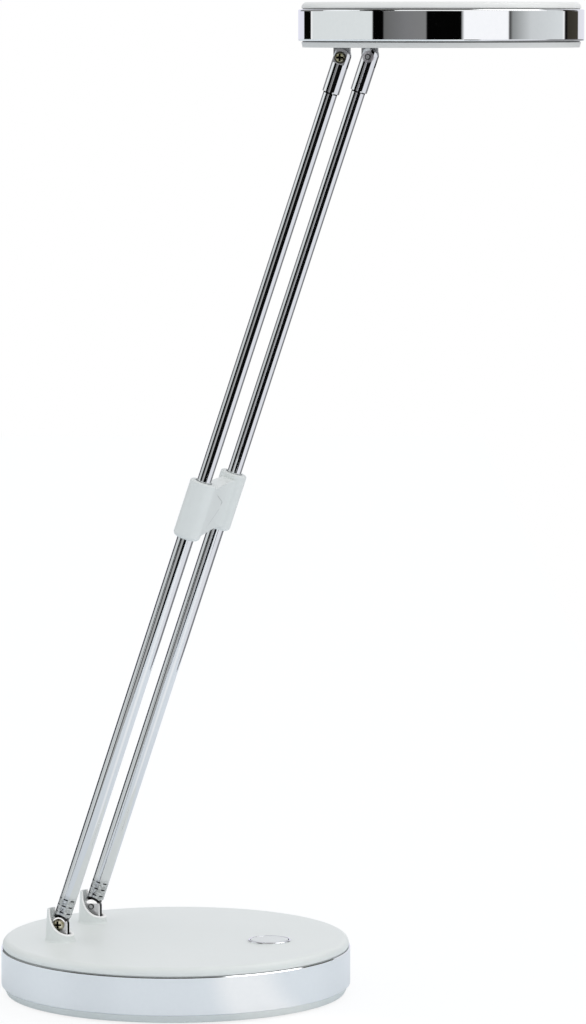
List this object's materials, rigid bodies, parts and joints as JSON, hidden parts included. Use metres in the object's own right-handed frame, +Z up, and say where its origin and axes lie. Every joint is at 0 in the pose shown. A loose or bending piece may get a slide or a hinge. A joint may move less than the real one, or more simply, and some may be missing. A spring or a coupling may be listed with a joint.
{
  "type": "desk lamp",
  "caption": "Folding desk lamp with a round weighted base, paired telescopic tube arms held by a clip, a flat round tilting head and a push button",
  "frame": {"origin": "centre of the base, on the face that stands on the desk", "axes": "+Z up, +X the way the arms lean, towards the head and the button, +Y along the hinge axes"},
  "size_m": [0.2073, 0.124, 0.3499],
  "materials": {
    "white_plastic": "fine matt moulded",
    "head_plastic": "fine matt moulded",
    "chrome_band": "mirror chromed",
    "chrome_tube": "mirror chromed",
    "bracket_steel": "nickel plated",
    "screw_brass": "yellow passivated",
    "screw_steel": "zinc plated",
    "ballast_iron": "rolled plate",
    "pad_rubber": "matt",
    "button_plastic": "satin",
    "black_plastic": "moulded",
    "circuit_board": "solder mask",
    "led_board_metal": "white solder mask on aluminium",
    "led_yellow": "phosphor",
    "diffuser_plastic": "frosted",
    "sleeve_bronze": "drawn",
    "lead_red": "insulation"
  },
  "bodies": {
    "base": {"anti_slip_pad": "pad_rubber", "base_bottom_shell": "white_plastic", "base_chrome_band": "chrome_band", "base_top_cover": "white_plastic", "ballast_plate": "ballast_iron", "ballast_screws": "screw_steel", "base_screws": "screw_steel", "control_board": "circuit_board", "board_screws": "screw_steel", "push_switch": "black_plastic", "button_bezel": "chrome_band", "dc_jack": "black_plastic", "inlet_pin": "bracket_steel", "inlet_leads": "lead_red", "arm_leads": "lead_red", "hinge_bracket_near": "bracket_steel", "hinge_bracket_far": "bracket_steel", "bracket_screws": "screw_steel", "base_pivot_screw_near": "screw_brass", "base_pivot_screw_far": "screw_brass"},
    "button": {"button_cap": "button_plastic", "switch_plunger": "black_plastic"},
    "lower_arm": {"outer_tube_near": "chrome_tube", "outer_tube_far": "chrome_tube", "foot_tongue_near": "bracket_steel", "foot_tongue_far": "bracket_steel", "arm_clip": "white_plastic"},
    "upper_arm": {"inner_tube_near": "chrome_tube", "inner_tube_far": "chrome_tube", "friction_sleeve_near": "sleeve_bronze", "friction_sleeve_far": "sleeve_bronze", "head_ferrule_near": "chrome_tube", "head_ferrule_far": "chrome_tube", "head_pivot_screw_near": "screw_brass", "head_pivot_screw_far": "screw_brass"},
    "head": {"head_bottom_ring": "head_plastic", "head_chrome_band": "chrome_band", "head_top_cover": "head_plastic", "diffuser": "diffuser_plastic", "led_board": "led_board_metal", "leds": "led_yellow", "led_board_screws": "screw_steel", "head_screws": "screw_steel", "head_tab_near": "bracket_steel", "head_tab_far": "bracket_steel", "tab_screws": "screw_steel", "head_leads": "lead_red"}
  },
  "joints": [
    {"name": "base_fold", "type": "hinge", "parent": "base", "child": "lower_arm", "pos_m": [-0.0371, 0, 0.02555], "axis": [0, 1, 0], "range_deg": [-18.6, 63]},
    {"name": "arm_slide", "type": "slide", "parent": "lower_arm", "child": "upper_arm", "axis": [-0.3195, 0, -0.9476], "range_m": [0, 0.12]},
    {"name": "head_tilt", "type": "hinge", "parent": "upper_arm", "child": "head", "pos_m": [0.06588, 0, 0.33101], "axis": [0, 1, 0], "range_deg": [-71.3, 100]},
    {"name": "button_press", "type": "slide", "parent": "base", "child": "button", "axis": [0, 0, -1], "range_m": [0, 0.001], "stiffness_N_per_m": 1200, "springref_m": -0.0004}
  ]
}
